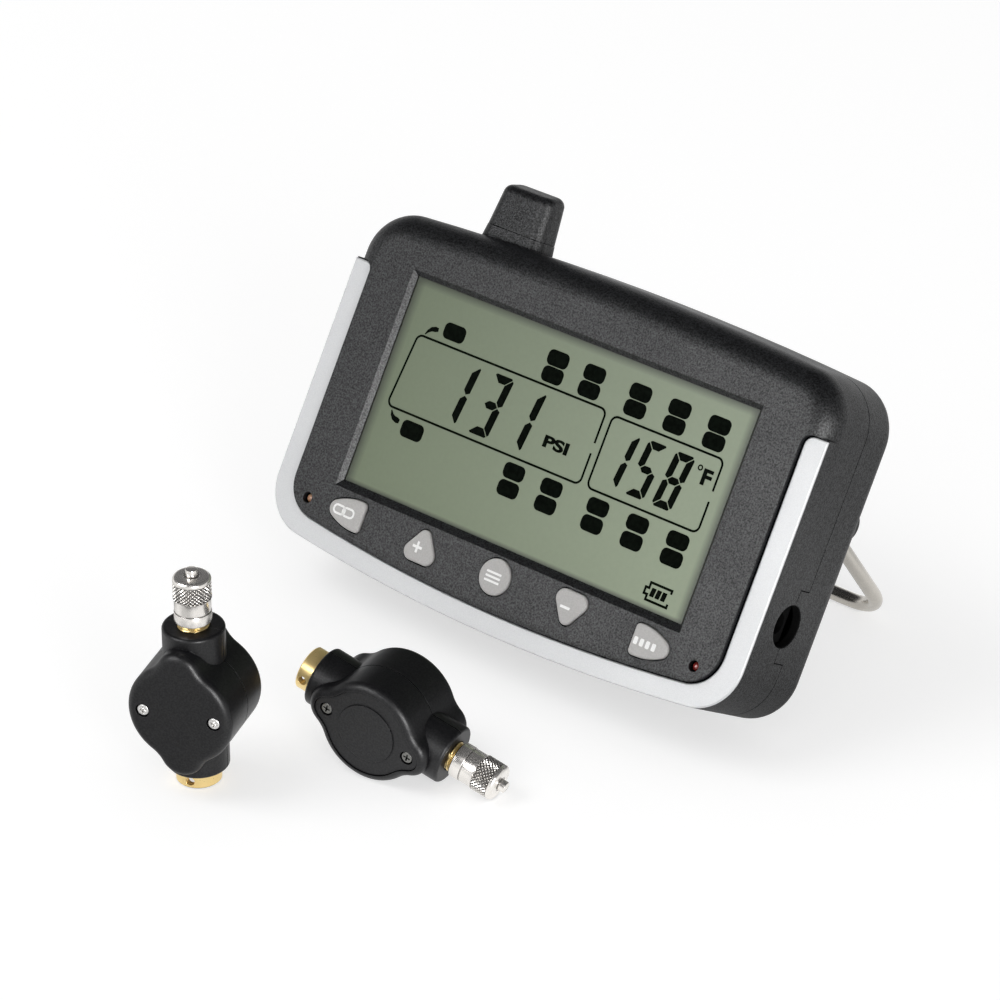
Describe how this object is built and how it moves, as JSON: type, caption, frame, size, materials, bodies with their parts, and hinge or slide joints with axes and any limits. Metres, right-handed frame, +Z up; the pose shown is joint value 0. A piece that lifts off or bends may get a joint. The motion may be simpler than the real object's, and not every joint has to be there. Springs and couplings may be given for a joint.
{
  "type": "tire pressure monitor",
  "caption": "Table-top tyre pressure display on a folding wire stand, with flow-through valve sensors.",
  "frame": {"origin": "on the floor, in the middle of the whole set's footprint; the display is centred across X", "axes": "+Z up, the display faces -Y and leans back 32.1 degrees, +X to the display's right as seen from the front"},
  "size_m": [0.1484, 0.1793, 0.0983],
  "materials": {
    "black_shell": "fine textured moulding",
    "silver_paint": "satin silver paint",
    "steel_screws": "zinc plated",
    "display_film": "satin green-grey polarising film",
    "display_glass": "clear",
    "white_plastic": "satin",
    "grey_rubber": "matte",
    "black_rubber": "matte",
    "green_board": "solder mask",
    "shield_can": "tin plated",
    "component_black": "moulded",
    "battery_wrap": "shrink wrap",
    "amber_lens": "clear tinted",
    "red_lens": "clear tinted",
    "spring_copper": "bright",
    "nickel_wire": "satin nickel",
    "sensor_black": "satin moulding",
    "sensor_screws": "zinc plated",
    "sensor_seals": "matte",
    "cell_steel": "satin",
    "yellow_brass": "turned",
    "cap_nickel": "nickel plated, knurled"
  },
  "bodies": {
    "display": {"front_bezel": "black_shell", "silver_trim": "silver_paint", "rear_cover": "black_shell", "rear_screws": "steel_screws", "front_polarizer": "display_film", "lcd_glass": "display_glass", "backlight_panel": "white_plastic", "contact_strips": "black_rubber", "lcd_holder": "white_plastic", "main_board": "green_board", "radio_module": "shield_can", "buzzer": "component_black", "battery_pack": "battery_wrap", "power_jack": "component_black", "amber_led": "amber_lens", "red_led": "red_lens", "key_switches": "component_black", "antenna_cover": "black_shell", "antenna_coil": "spring_copper"},
    "stand": {"wire_stand": "nickel_wire"},
    "link_button": {"link_key": "grey_rubber"},
    "plus_button": {"plus_key": "grey_rubber"},
    "set_button": {"set_key": "grey_rubber"},
    "minus_button": {"minus_key": "grey_rubber"},
    "code_button": {"code_key": "grey_rubber"},
    "sensor_a": {"sensor_a_front_shell": "sensor_black", "sensor_a_back_shell": "sensor_black", "sensor_a_shell_screws": "sensor_screws", "sensor_a_battery_cover": "sensor_black", "sensor_a_cover_screws": "sensor_screws", "sensor_a_cover_seal": "sensor_seals", "sensor_a_coin_cell": "cell_steel", "sensor_a_board": "green_board", "sensor_a_valve_stem": "yellow_brass", "sensor_a_valve_core": "yellow_brass", "sensor_a_stem_washer": "sensor_seals"},
    "sensor_a_collar": {"sensor_a_swivel_collar": "yellow_brass"},
    "sensor_a_pin": {"sensor_a_valve_pin": "yellow_brass"},
    "sensor_a_seal": {"sensor_a_cap_seal": "sensor_seals"},
    "sensor_a_cap": {"sensor_a_dust_cap": "cap_nickel"},
    "sensor_b": {"sensor_b_front_shell": "sensor_black", "sensor_b_back_shell": "sensor_black", "sensor_b_shell_screws": "sensor_screws", "sensor_b_battery_cover": "sensor_black", "sensor_b_cover_screws": "sensor_screws", "sensor_b_cover_seal": "sensor_seals", "sensor_b_coin_cell": "cell_steel", "sensor_b_board": "green_board", "sensor_b_valve_stem": "yellow_brass", "sensor_b_valve_core": "yellow_brass", "sensor_b_stem_washer": "sensor_seals"},
    "sensor_b_collar": {"sensor_b_swivel_collar": "yellow_brass"},
    "sensor_b_pin": {"sensor_b_valve_pin": "yellow_brass"},
    "sensor_b_seal": {"sensor_b_cap_seal": "sensor_seals"},
    "sensor_b_cap": {"sensor_b_dust_cap": "cap_nickel"}
  },
  "joints": [
    {"name": "stand_fold", "type": "hinge", "parent": "display", "child": "stand", "pos_m": [0, 0.05715, 0.04465], "axis": [1, 0, 0], "range_deg": [-67.7, 0]},
    {"name": "link_press", "type": "slide", "parent": "display", "child": "link_button", "axis": [0, 0.8471, -0.5314], "range_m": [0, 0.0008]},
    {"name": "plus_press", "type": "slide", "parent": "display", "child": "plus_button", "axis": [0, 0.8471, -0.5314], "range_m": [0, 0.0008]},
    {"name": "set_press", "type": "slide", "parent": "display", "child": "set_button", "axis": [0, 0.8471, -0.5314], "range_m": [0, 0.0008]},
    {"name": "minus_press", "type": "slide", "parent": "display", "child": "minus_button", "axis": [0, 0.8471, -0.5314], "range_m": [0, 0.0008]},
    {"name": "code_press", "type": "slide", "parent": "display", "child": "code_button", "axis": [0, 0.8471, -0.5314], "range_m": [0, 0.0008]},
    {"name": "sensor_a_lift", "type": "slide", "parent": "display", "child": "sensor_a", "axis": [0, 0, 1], "range_m": [0, 0.06]},
    {"name": "sensor_a_collar_turn", "type": "hinge", "parent": "sensor_a", "child": "sensor_a_collar", "pos_m": [-0.0228, -0.0753, 0.0032], "axis": [0, 0, 1], "continuous": true},
    {"name": "sensor_a_pin_press", "type": "slide", "parent": "sensor_a", "child": "sensor_a_pin", "axis": [0, 0, -1], "range_m": [0, 0.0008]},
    {"name": "sensor_a_cap_rise", "type": "slide", "parent": "sensor_a", "child": "sensor_a_seal", "axis": [0, 0, 1], "range_m": [0, 0.00318]},
    {"name": "sensor_a_cap_turn", "type": "hinge", "parent": "sensor_a_seal", "child": "sensor_a_cap", "pos_m": [-0.0228, -0.0753, 0.0492], "axis": [0, 0, 1], "range_deg": [0, 1440]},
    {"name": "sensor_b_lift", "type": "slide", "parent": "display", "child": "sensor_b", "axis": [0, 0, 1], "range_m": [0, 0.06]},
    {"name": "sensor_b_collar_turn", "type": "hinge", "parent": "sensor_b", "child": "sensor_b_collar", "pos_m": [-0.01177, -0.04456, 0.01873], "axis": [0.9484, 0.1553, -0.2766], "continuous": true},
    {"name": "sensor_b_pin_press", "type": "slide", "parent": "sensor_b", "child": "sensor_b_pin", "axis": [-0.9484, -0.1553, 0.2766], "range_m": [0, 0.0008]},
    {"name": "sensor_b_cap_rise", "type": "slide", "parent": "sensor_b", "child": "sensor_b_seal", "axis": [0.9484, 0.1553, -0.2766], "range_m": [0, 0.00318]},
    {"name": "sensor_b_cap_turn", "type": "hinge", "parent": "sensor_b_seal", "child": "sensor_b_cap", "pos_m": [0.03186, -0.03742, 0.00601], "axis": [0.9484, 0.1553, -0.2766], "range_deg": [0, 1440]}
  ],
  "couplings": [
    {"joint": "sensor_a_cap_rise", "follows": "sensor_a_cap_turn", "m_per_rad": 0.00012633},
    {"joint": "sensor_b_cap_rise", "follows": "sensor_b_cap_turn", "m_per_rad": 0.00012633}
  ]
}
